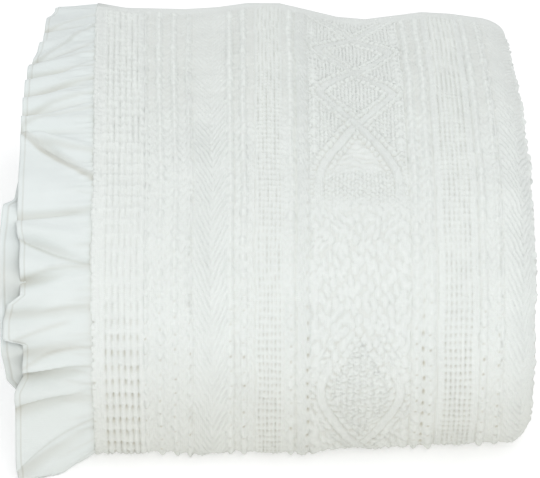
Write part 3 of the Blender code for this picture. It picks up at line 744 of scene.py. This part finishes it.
def build_face(name, left, right):
    """One strip of the face, between two distances across the cloth."""
    last = float(np.interp(ENDS[0] + OUTER_TURN * FACE_LAST, S_STEPS, U_STEPS))
    rows = int(round((last - FACE_FIRST) / ROW_STEP))
    columns = int(round((right - left) / COLUMN_STEP))
    across = np.linspace(left, right, columns)
    if left == 0:
        across = np.concatenate([[0.0, 0.0], across])
    u, c = np.meshgrid(np.linspace(FACE_FIRST, last, rows), across, indexing="ij")
    s = path_of(u)
    high, hole = relief(c, u)
    k = pattern_share(s)
    extra = HIDDEN_RELIEF * (1 - k) + high * k
    if left == 0:
        extra[:, 0] = -EDGE_TURN
        extra[:, 1] = -EDGE_TURN / 3
        extra[:, 2] *= 0.6
        knots = EDGE_KNOT * np.abs(np.sin(np.pi * (u + 1.2) / HALF_ROW)) + EDGE_KNOT * noise(c, u, 6.0, 44)
        c = c - knots * (1 - soft_step(0.0, 4.0, c))
    # Painted shade: in the holes and grooves, and low at the front where the face turns under.
    painted_shade = np.clip(hole * k + FRONT_SHADE * soft_step(*FRONT_SHADE_RISE, u), 0, 1)
    cloth = np.stack([c, u, extra], axis=-1).reshape(-1, 3) * MM
    piece = mesh_object(
        name, face_points(c, s, extra).reshape(-1, 3), grid_faces(*c.shape, flip=True),
        {"cloth": cloth, "painted_shade": painted_shade.ravel()}, pique,
    )
    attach(piece, "root")
    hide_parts("pique_panel")


for name, left, right in zip(("face_left", "face_middle", "face_right"), FACE_SEAMS, FACE_SEAMS[1:]):
    build_face(name, left, right)

# The folded cloth lies this far under the face strips, and comes up past their ends and side.
REST_DROP = 2.6
FACE_END = (0.905, 0.93)
FACE_START = (18.0, 24.0)
SIDE_START = (RIGHT_FOLD - 12, RIGHT_FOLD + 4)
SIDE_END = (468.0, 480.0)
LAST_FADE = (ENDS[6] - 40, ENDS[6] - 25)
HIDDEN_PHASE = 373.0
# Steps across the plies, rows along the shaped face, and steps along the hidden runs and turns.
FACE_STEP = 30.0
UNDER_STEP = 26.0
PLAIN_STEP = 60.0
SHAPED_ROWS = 90
HIDDEN_STEPS = (3.6, 2.4, 3.6, 3.0, 3.6)


def arc(cx, cn, radius, start, end, count):
    """Points of a fold in the width direction, x and n, between two angles in degrees."""
    a = np.radians(np.linspace(start, end, count + 1))
    return [(cx + radius * math.cos(v), cn + radius * math.sin(v)) for v in a]


def run_line(n, first, last, step):
    """Points of a straight ply, x and n, at steps near this size."""
    count = max(int(round(abs(last - first) / step)), 1)
    return [(x, n) for x in np.linspace(first, last, count + 1)]


def rest_profile():
    """The ring of the four plies, and for every point whether it is on the patterned side."""
    left_n = -(PLY_OUTER + PLY_INNER) / 2
    left_radius = (PLY_OUTER - PLY_INNER) / 2
    wide = left_radius + PLY_HALF
    tight = left_radius - PLY_HALF
    outer_in = PLY_OUTER - PLY_HALF
    inner_in = PLY_INNER - PLY_HALF
    inner_out = PLY_INNER + PLY_HALF
    face = run_line(FACE, 0.0, RIGHT_FOLD, FACE_STEP)
    fold = arc(RIGHT_FOLD, 0, FACE, 90, -90, 38)[1:]
    under = run_line(-FACE, RIGHT_FOLD, LEFT_FOLD, UNDER_STEP)[1:]
    inside = arc(LEFT_FOLD, left_n, wide, -90, -270, 8)[1:]
    inside += run_line(-inner_in, LEFT_FOLD, RIGHT_FOLD, PLAIN_STEP)[1:]
    inside += arc(RIGHT_FOLD, 0, inner_in, -90, 90, 5)[1:]
    inside += run_line(inner_in, RIGHT_FOLD, 0.0, PLAIN_STEP)[1:]
    back = run_line(inner_out, 0.0, RIGHT_FOLD, PLAIN_STEP)
    back += arc(RIGHT_FOLD, 0, inner_out, 90, -90, 7)[1:]
    back += run_line(-inner_out, RIGHT_FOLD, LEFT_FOLD, PLAIN_STEP)[1:]
    back += arc(LEFT_FOLD, left_n, tight, -270, -90, 5)[1:]
    back += run_line(-outer_in, LEFT_FOLD, RIGHT_FOLD, PLAIN_STEP)[1:]
    back += arc(RIGHT_FOLD, 0, outer_in, -90, 90, 9)[1:]
    back += run_line(outer_in, RIGHT_FOLD, 0.0, PLAIN_STEP)[1:]
    patterned = [True] * len(face + fold + under) + [False] * len(inside + back)
    face_count = len(face + fold + under + inside)
    cloth = []
    run = 0.0
    ring = face + fold + under + inside + back
    for p, q in zip([ring[0]] + ring, ring):
        run += math.dist(p, q)
        cloth.append(run)
    return np.array(ring), np.array(cloth), np.array(patterned), face_count


def rest_stations():
    """Path lengths of the rows of the folded cloth, closer together at the hem."""
    marks = [0.0, 3.0, 8.0, 14.0, 20.0, 26.0]
    marks += list(np.linspace(32.0, ENDS[0], SHAPED_ROWS))
    marks += list(np.linspace(ENDS[0], ENDS[1], SHAPED_ROWS)[1:])
    for first, last, step in zip(ENDS[1:], ENDS[2:], HIDDEN_STEPS):
        count = int(round((last - first) / step))
        marks += list(np.linspace(first, last, count + 1)[1:])
    return np.array(marks)


def close_end(front, back, points):
    """Triangles between the face side and the back side of a cut end, over the shorter way across."""
    faces = []
    i = 0
    j = 0
    while i < len(front) - 1 or j < len(back) - 1:
        step_i = i < len(front) - 1
        if step_i and j < len(back) - 1:
            over_front = np.linalg.norm(points[front[i + 1]] - points[back[j]])
            over_back = np.linalg.norm(points[front[i]] - points[back[j + 1]])
            step_i = over_front <= over_back
        if step_i:
            faces.append((front[i], front[i + 1], back[j]))
            i += 1
        else:
            faces.append((front[i], back[j + 1], back[j]))
            j += 1
    return faces


def build_rest():
    """The folded cloth itself, with the pattern where its right folds show and plain elsewhere."""
    ring, cloth, patterned, face_count = rest_profile()
    marks = rest_stations()
    s = marks[:, None] + np.zeros(len(ring))
    c = cloth[None, :] + np.zeros((len(marks), 1))
    u = np.where(s <= ENDS[1], cloth_length(s), s + HIDDEN_PHASE)
    high, hole = relief(c, u)
    share_of_turn = (s - ENDS[0]) / OUTER_TURN
    beyond = np.maximum(soft_step(*FACE_END, share_of_turn), 1 - soft_step(*FACE_START, s))
    beyond = np.maximum(beyond, soft_step(FACE_SIDE - 7, FACE_SIDE, c))
    beyond = np.maximum(beyond, ~patterned[None, :])
    on_side = soft_step(*SIDE_START, c) * (1 - soft_step(*SIDE_END, c))
    raised = on_side * soft_step(*HEM_FADE, s) * (1 - soft_step(*LAST_FADE, s))
    lift = HIDDEN_RELIEF * (1 - raised) + high * raised
    lift = np.where(patterned[None, :], lift, 0.0) * beyond - REST_DROP * (1 - beyond)
    x = ring[None, :, 0] + np.zeros_like(s)
    n = ring[None, :, 1] + np.zeros_like(s)
    out_x = np.clip(x - RIGHT_FOLD, 0, None)
    size = np.maximum(np.hypot(out_x, n), 1.0)
    x = np.where(patterned[None, :], x + lift * out_x / size, x)
    n = np.where(patterned[None, :], n + lift * n / size, n)
    points = place(x, s, n).reshape(-1, 3)
    rows, columns = s.shape
    i = np.arange(rows - 1) * columns
    seam = np.stack([i + columns - 1, i, i + columns, i + 2 * columns - 1], axis=-1)
    triangles = []
    for row in (0, rows - 1):
        first = row * columns
        front = list(range(first, first + face_count))
        back = list(range(first + columns - 1, first + face_count - 1, -1))
        end = close_end(front, back, points)
        triangles += [face[::-1] for face in end] if row == 0 else end
    piece = mesh_object(
        "folded_cloth", points, np.vstack([grid_faces(rows, columns), seam]),
        {
            "cloth": np.stack([c, u, lift], axis=-1).reshape(-1, 3) * MM,
            "painted_shade": np.clip(hole * raised * beyond, 0, 1).ravel(),
        },
        pique, triangles=triangles, closed=True,
    )
    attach(piece, "root")
    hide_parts("pique_panel")


build_rest()


# The ruffles

# Soft folds: cloth length at the seam and at the free edge, height, and half width.
OUTER_FOLDS = [
    (40, 30, 6, 18), (98, 112, -5, 14), (125, 180, 7, 20), (165, 236, -5, 14), (205, 262, 7, 18),
    (232, 284, -5, 13), (262, 300, 7, 18), (288, 322, -6, 13), (318, 345, 7, 18), (344, 366, -6, 13),
    (376, 388, 7, 18), (402, 400, -5, 12), (440, 408, 9, 20), (482, 402, -10, 14), (500, 478, 4, 40),
    (527, 528, -6, 9), (560, 548, 7, 16), (590, 556, -4, 11), (600, 585, 7, 17), (592, 606, -8, 11),
    (614, 622, 4, 14), (634, 640, -5, 10), (650, 658, 7, 15), (664, 684, -6, 11), (682, 696, 7, 12),
    (694, 710, -8, 12), (712, 726, 8, 14), (726, 744, -5, 10), (744, 768, 8, 16), (764, 792, -5, 11),
    (784, 826, 6, 22),
]
INNER_FOLDS = [
    (70, 60, 4, 24), (160, 150, 5, 22), (250, 240, 4, 24), (340, 330, 5, 22), (430, 425, 4, 26),
    (520, 516, 5, 20), (600, 598, 4, 22), (680, 684, 5, 20), (760, 770, 4, 22),
]
# Width that shows, by cloth length.
OUTER_WIDTHS = [
    (0, 42), (40, 45), (62, 53), (160, 55), (258, 67), (318, 70), (398, 71), (480, 72), (508, 72),
    (540, 72), (552, 71), (562, 68), (620, 67), (629, 79), (646, 83), (664, 83), (670, 65),
    (714, 66), (722, 74), (780, 74), (850, 72), (1100, 74),
]
INNER_WIDTHS = [
    (0, 38), (200, 50), (400, 64), (495, 76), (508, 86), (560, 89), (618, 88), (680, 86), (720, 82),
    (740, 66), (850, 64), (1100, 74),
]
# Sharp creases of the outer ruffle: cloth length at the seam and at the free edge, the shares of the
# width between which it runs, its height, and how far the cloth behind it takes to rise.
CREASES = [
    (58, 112, 0.0, 1.0, 3.0, 14.0), (94, 232, 0.0, 1.0, 3.5, 16.0), (165, 250, 0.0, 0.8, 2.2, 9.0),
    (204, 252, 0.0, 1.0, 2.8, 12.0), (249, 273, 0.0, 1.0, 3.0, 12.0), (283, 326, 0.0, 1.0, 3.4, 12.0),
    (310, 340, 0.0, 0.6, 1.6, 6.0), (324, 366, 0.0, 1.0, 3.2, 12.0), (357, 394, 0.0, 1.0, 3.2, 12.0),
    (380, 388, 0.0, 0.5, 1.6, 6.0), (440, 406, 0.0, 1.0, 3.6, 13.0), (480, 402, 0.0, 1.0, 6.5, 8.0),
    (503, 470, 0.0, 0.45, 1.6, 6.0), (521, 514, 0.0, 0.55, 2.0, 7.0), (588, 556, 0.0, 1.0, -4.5, 13.0),
    (590, 602, 0.0, 1.0, 3.4, 9.0), (611, 606, 0.0, 0.35, 1.6, 5.0), (627, 648, 0.0, 0.7, 3.0, 10.0),
    (640, 668, 0.3, 1.0, 3.2, 14.0), (655, 650, 0.0, 0.4, 1.6, 5.0), (668, 692, 0.0, 1.0, 4.2, 13.0),
    (690, 706, 0.0, 1.0, 3.4, 10.0), (710, 716, 0.0, 0.6, 2.4, 7.0), (720, 742, 0.2, 1.0, 3.2, 10.0),
    (745, 738, 0.0, 0.4, 1.8, 5.0), (752, 782, 0.0, 1.0, 3.6, 12.0), (776, 800, 0.0, 0.6, 2.2, 8.0),
    (546, 540, 0.0, 0.3, 1.4, 4.0), (566, 552, 0.0, 0.4, 1.6, 5.0), (620, 612, 0.0, 0.4, 1.6, 5.0),
    (636, 640, 0.0, 0.3, 1.4, 4.0), (678, 684, 0.0, 0.45, 1.8, 5.0), (700, 704, 0.0, 0.4, 1.6, 5.0),
    (730, 724, 0.0, 0.5, 2.0, 6.0), (764, 770, 0.0, 0.4, 1.6, 5.0),
]
CREASE_DROP = 1.7
CREASE_BEND = 5.0
CREASE_SHADE = 0.42
# Painted shade on the strips by cloth length: darker and warmer under the flaps and low at the front,
# where they turn under.
OUTER_SHADE = [
    (0, 0.0), (480, 0.0), (600, 0.08), (650, 0.14), (695, 0.14), (730, 0.26), (790, 0.2), (830, 0.5),
]
INNER_SHADE = [
    (0, 0.0), (560, 0.0), (598, 0.26), (620, 0.26), (634, 0.0), (666, 0.0), (684, 0.3), (735, 0.3),
    (760, 0.2),
]
OUTER_RUFFLE = {
    "ply": PLY_OUTER, "folds": OUTER_FOLDS, "widths": OUTER_WIDTHS, "rise": 3.4, "lean": -6.0,
    "hidden_lean": 0.0, "flare": 38.0, "flare_from": 0.52, "lowest": 3.2, "seed": 21,
    "creases": CREASES, "shade_by_length": OUTER_SHADE,
}
INNER_RUFFLE = {
    "ply": PLY_INNER, "folds": INNER_FOLDS, "widths": INNER_WIDTHS, "rise": 0.0, "lean": 6.0,
    "hidden_lean": -6.0, "flare": 32.0, "flare_from": 0.52, "lowest": 2.8, "seed": 22,
    "creases": [], "shade_by_length": INNER_SHADE,
}
RUFFLE_HALF = 0.55
HEM_HALF = 0.95
HEM_START = 0.935
HEM_SHARES = [HEM_START, HEM_START + 0.012, 0.97, 1.0]
# The ruffle's cut width, its weave in each millimetre of seam, and its tuck into the seam.
RUFFLE_WIDTH = 80.0
GATHERED = 1.3
RUFFLE_TUCK = 2.0
RUFFLE_END = 4.0
RUFFLE_COLUMNS = 42
SHOWN_ROWS = 450
HIDDEN_ROW_STEPS = (3.4, 5.5)
FLARE_FULL = 0.74
FLARE_END = (0.86, 0.99)
FLARE_BEND = 0.8
FOLD_BEND = 0.6
SHOWN_END = (70.0, 10.0)
HIDDEN_WAVE = 4.2
HIDDEN_WAVE_LENGTH = 36.0


def fold_lift(folds, u, w):
    """Lift of the ruffle's folds at cloth length u and share w of its width."""
    lift = np.zeros_like(u)
    for seam, free, height, half in folds:
        t = np.clip(np.abs(u - seam - (free - seam) * w) / (half * (0.7 + 0.5 * w)), 0, 1)
        lift += height * (0.5 + 0.5 * np.cos(math.pi * t)) ** 1.25
    return lift


def gathers(length, w, seed):
    """Small pleats that start at the seam and run out at different lengths."""
    rng = np.random.default_rng(seed)
    lift = np.zeros_like(length)
    at = 0.0
    sign = 1.0
    while at < length.max():
        at += rng.uniform(3.0, 7.0)
        half = rng.uniform(2.2, 4.6)
        reach = rng.uniform(0.2, 0.95) ** 1.3
        drift = rng.uniform(-9.0, 9.0)
        height = sign * rng.uniform(0.6, 1.8)
        sign = -sign
        near = np.abs(length - at) < half + 14.0
        d = (length[near] - at - drift * w[near]) / (half * (1 + 0.8 * w[near]))
        fade = np.clip(1 - w[near] / reach, 0, 1) ** 0.8
        lift[near] += height * fade * np.exp(-d ** 2)
    return lift


def crease_lift(creases, u, w):
    """Lift and shade of sharp creases: the cloth rises slowly to each and drops at once beyond it."""
    lift = np.zeros_like(u)
    shade = np.zeros_like(u)
    for seam, free, first, last, height, tail in creases:
        bend = CREASE_BEND * np.sin(math.pi * w) * np.sign(free - seam)
        d = u - seam - (free - seam) * w + bend
        along = soft_step(first - 0.12, first + 0.08, w)
        if last < 1:
            along = along * (1 - soft_step(last - 0.3, last + 0.02, w))
        drop = CREASE_DROP + 0.02 * abs(free - seam)
        rise = np.exp(np.minimum(d, 0.0) / tail) * np.exp(-np.maximum(d, 0.0) / drop)
        lift += height * along * rise
        shade = np.maximum(shade, abs(height) / 5.0 * along * np.exp(-((d - drop - 0.2) / drop) ** 2))
    return lift, shade


def ruffle_point(lie, s, w):
    """The middle of a ruffle at path length s and share w of its width: x, n, fold depth and shade."""
    shown = 1.0 - soft_step(ENDS[1] - SHOWN_END[0], ENDS[1] - SHOWN_END[1], s)
    u = cloth_length(s)
    share = (s - ENDS[0]) / OUTER_TURN
    main = fold_lift(lie["folds"], u, w) * shown * w ** FOLD_BEND
    fine = gathers(np.where(s <= ENDS[1], u, s + HIDDEN_PHASE), w, lie["seed"])
    fine = fine + 0.5 * noise(w * RUFFLE_WIDTH, s, 16.0, lie["seed"] + 4) * w
    sharp, shade = crease_lift(lie["creases"], u, w)
    n = lie["ply"] + main + fine + sharp * shown
    wave = np.sin(s * math.tau / HIDDEN_WAVE_LENGTH + 2.2 * noise(w * 30.0, s, 70.0, lie["seed"] + 6))
    wave = wave * (0.7 + 0.3 * noise(w * 30.0, s, 55.0, lie["seed"] + 8))
    n = n + (1 - shown) * HIDDEN_WAVE * w * wave
    flare = soft_step(lie["flare_from"], FLARE_FULL, share) * (1.0 - soft_step(*FLARE_END, share))
    n = n + lie["flare"] * flare * w ** FLARE_BEND
    n = n + lie["rise"] * shown + (lie["lean"] * shown + lie["hidden_lean"] * (1 - shown)) * w
    x = RUFFLE_TUCK - (table(lie["widths"], u) + RUFFLE_TUCK) * w
    # The last value is painted shade: in the creases and by cloth length.
    return x, n, main + fine, (CREASE_SHADE * shade + table(lie["shade_by_length"], u)) * shown


def ruffle_marks():
    """Path lengths of the rows of a ruffle: close on the shown part and at the hidden turns."""
    marks = list(np.linspace(RUFFLE_END, ENDS[1], SHOWN_ROWS))
    for a, b in zip(ENDS[1:], ENDS[2:]):
        step = HIDDEN_ROW_STEPS[0] if b - a < 1.5 * SMALL_TURN else HIDDEN_ROW_STEPS[1]
        marks += list(np.linspace(a, b, int(round((b - a) / step)) + 1)[1:])
    marks[-1] -= RUFFLE_END
    return np.array(marks)


def build_ruffle(name, solid, lie):
    """A gathered strip along one long edge, thin and closed, with a turned hem at its free edge."""
    marks = ruffle_marks()
    shares = np.concatenate([np.linspace(0, HEM_START - 0.02, RUFFLE_COLUMNS), HEM_SHARES])
    s, w = np.meshgrid(marks, shares, indexing="ij")
    x, n, depth, shade = ruffle_point(lie, s, w)
    half = np.where(w > HEM_START, HEM_HALF, RUFFLE_HALF)
    half = np.where(np.isclose(w, HEM_START), RUFFLE_HALF * 0.6, half)
    sides = [place(x, s, n + half), place(x, s, n - half)]
    high = np.maximum(sides[0][..., 2], sides[1][..., 2])
    lowest = (lie["lowest"] - SHIFT[2]) * MM
    for points in sides:
        above = points[..., 2] >= high - 1e-9
        floor = np.where(above, lowest + 2 * half * MM, lowest)
        points[..., 2] = np.maximum(points[..., 2], floor)
    rows, columns = s.shape
    count = rows * columns
    top = grid_faces(rows, columns)
    faces = [top, top[:, ::-1] + count]
    i = np.arange(rows - 1) * columns
    for k, turned in ((0, False), (columns - 1, True)):
        edge = np.stack([i + k, i + k + columns, i + k + columns + count, i + k + count], axis=-1)
        faces.append(edge[:, ::-1] if turned else edge)
    j = np.arange(columns - 1)
    for k, turned in ((0, True), ((rows - 1) * columns, False)):
        edge = np.stack([j + k, j + k + 1, j + k + 1 + count, j + k + count], axis=-1)
        faces.append(edge[:, ::-1] if turned else edge)
    # Painted shade: darker in the valleys of the folds, next to the seam, in the creases and by cloth
    # length; also darker along the line where the hem starts.
    painted_shade = np.clip(-depth / 14.0, 0, 0.8) + 0.25 * np.exp(-(w / 0.05) ** 2) + shade
    painted_shade = np.clip(painted_shade + 0.35 * np.isclose(w, HEM_START), 0, 1)
    cloth = np.stack([w * RUFFLE_WIDTH, s * GATHERED, depth], axis=-1).reshape(-1, 3) * MM
    piece = mesh_object(
        name, np.vstack([side.reshape(-1, 3) for side in sides]), np.vstack(faces),
        {"cloth": np.vstack([cloth, cloth]), "painted_shade": np.concatenate([painted_shade.ravel()] * 2)},
        lawn, closed=True,
    )
    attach(piece, "root")
    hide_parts(solid)


build_ruffle("gathered_outer", "ruffle_outer", OUTER_RUFFLE)
build_ruffle("gathered_inner", "ruffle_inner", INNER_RUFFLE)


# Floor, lights and camera

ELEVATION = math.radians(33.0)
LOOK = np.array([0.0, math.cos(ELEVATION), -math.sin(ELEVATION)])
UP = np.array([0.0, math.sin(ELEVATION), math.cos(ELEVATION)])
SEEN_POINT = np.array([169.1, 0.0, 104.0])
CAMERA_DISTANCE = 3847.5
CAMERA_RISE = 145.4
LENS = 270.0
FLOOR_HALF = 12.0
FLOOR_GREY = (0.66, 0.66, 0.66, 1.0)
FLOOR_GLOW = 0.45
WHITE = (1.0, 1.0, 1.0, 1.0)
# Brightness of the studio at the horizon and overhead, and its colour.
SKY = (0.46, 1.1)
SKY_COLOUR = (0.985, 0.99, 1.0, 1.0)
# Lights: name, place, size in metres, and power. They look at the middle of the bundle.
LIGHTS = [("key", (0.35, -2.75, 2.35), 1.1, 24.0), ("fill", (-2.4, -1.2, 2.0), 2.4, 6.0)]
LIT_POINT = (0.0, 0.0, 0.13)


def build_camera():
    data = bpy.data.cameras.new("camera")
    data.lens = LENS
    data.sensor_width = 36.0
    camera = bpy.data.objects.new("camera", data)
    bpy.context.collection.objects.link(camera)
    camera.location = (SEEN_POINT - LOOK * CAMERA_DISTANCE + UP * CAMERA_RISE - SHIFT) * MM
    camera.rotation_euler = (math.pi / 2 - ELEVATION, 0.0, 0.0)
    bpy.context.scene.camera = camera


def build_floor():
    mesh = bpy.data.meshes.new("floor")
    corners = [(x * FLOOR_HALF, y * FLOOR_HALF, 0.0) for x, y in ((-1, -1), (1, -1), (1, 1), (-1, 1))]
    mesh.from_pydata(corners, [], [(0, 1, 2, 3)])
    material = bpy.data.materials.new("pale_floor")
    material.use_nodes = True
    shader = material.node_tree.nodes["Principled BSDF"]
    set_inputs(shader, {"Base Color": FLOOR_GREY, "Roughness": 0.9})
    set_inputs(shader, {"Emission Color": WHITE, "Emission Strength": FLOOR_GLOW})
    mesh.materials.append(material)
    floor = bpy.data.objects.new("floor", mesh)
    bpy.context.collection.objects.link(floor)


def add_light(name, place_at, size, power):
    data = bpy.data.lights.new(name, "AREA")
    data.shape = "DISK"
    data.size = size
    data.energy = power
    lamp = bpy.data.objects.new(name, data)
    lamp.location = place_at
    direction = Vector(LIT_POINT) - Vector(place_at)
    lamp.rotation_euler = direction.to_track_quat("-Z", "Y").to_euler()
    bpy.context.collection.objects.link(lamp)


def build_light():
    world = bpy.data.worlds.new("studio")
    bpy.context.scene.world = world
    world.use_nodes = True
    tree = world.node_tree
    back = tree.nodes["Background"]
    back.inputs["Color"].default_value = SKY_COLOUR
    where = node(tree, "ShaderNodeTexCoord")
    parts = node(tree, "ShaderNodeSeparateXYZ")
    sky = node(tree, "ShaderNodeMapRange")
    set_inputs(sky, {"To Min": SKY[0], "To Max": SKY[1]})
    tree.links.new(where.outputs["Generated"], parts.inputs["Vector"])
    tree.links.new(parts.outputs["Z"], sky.inputs["Value"])
    tree.links.new(sky.outputs["Result"], back.inputs["Strength"])
    for light in LIGHTS:
        add_light(*light)
    bpy.context.scene.view_settings.view_transform = "Standard"


build_camera()
build_floor()
build_light()
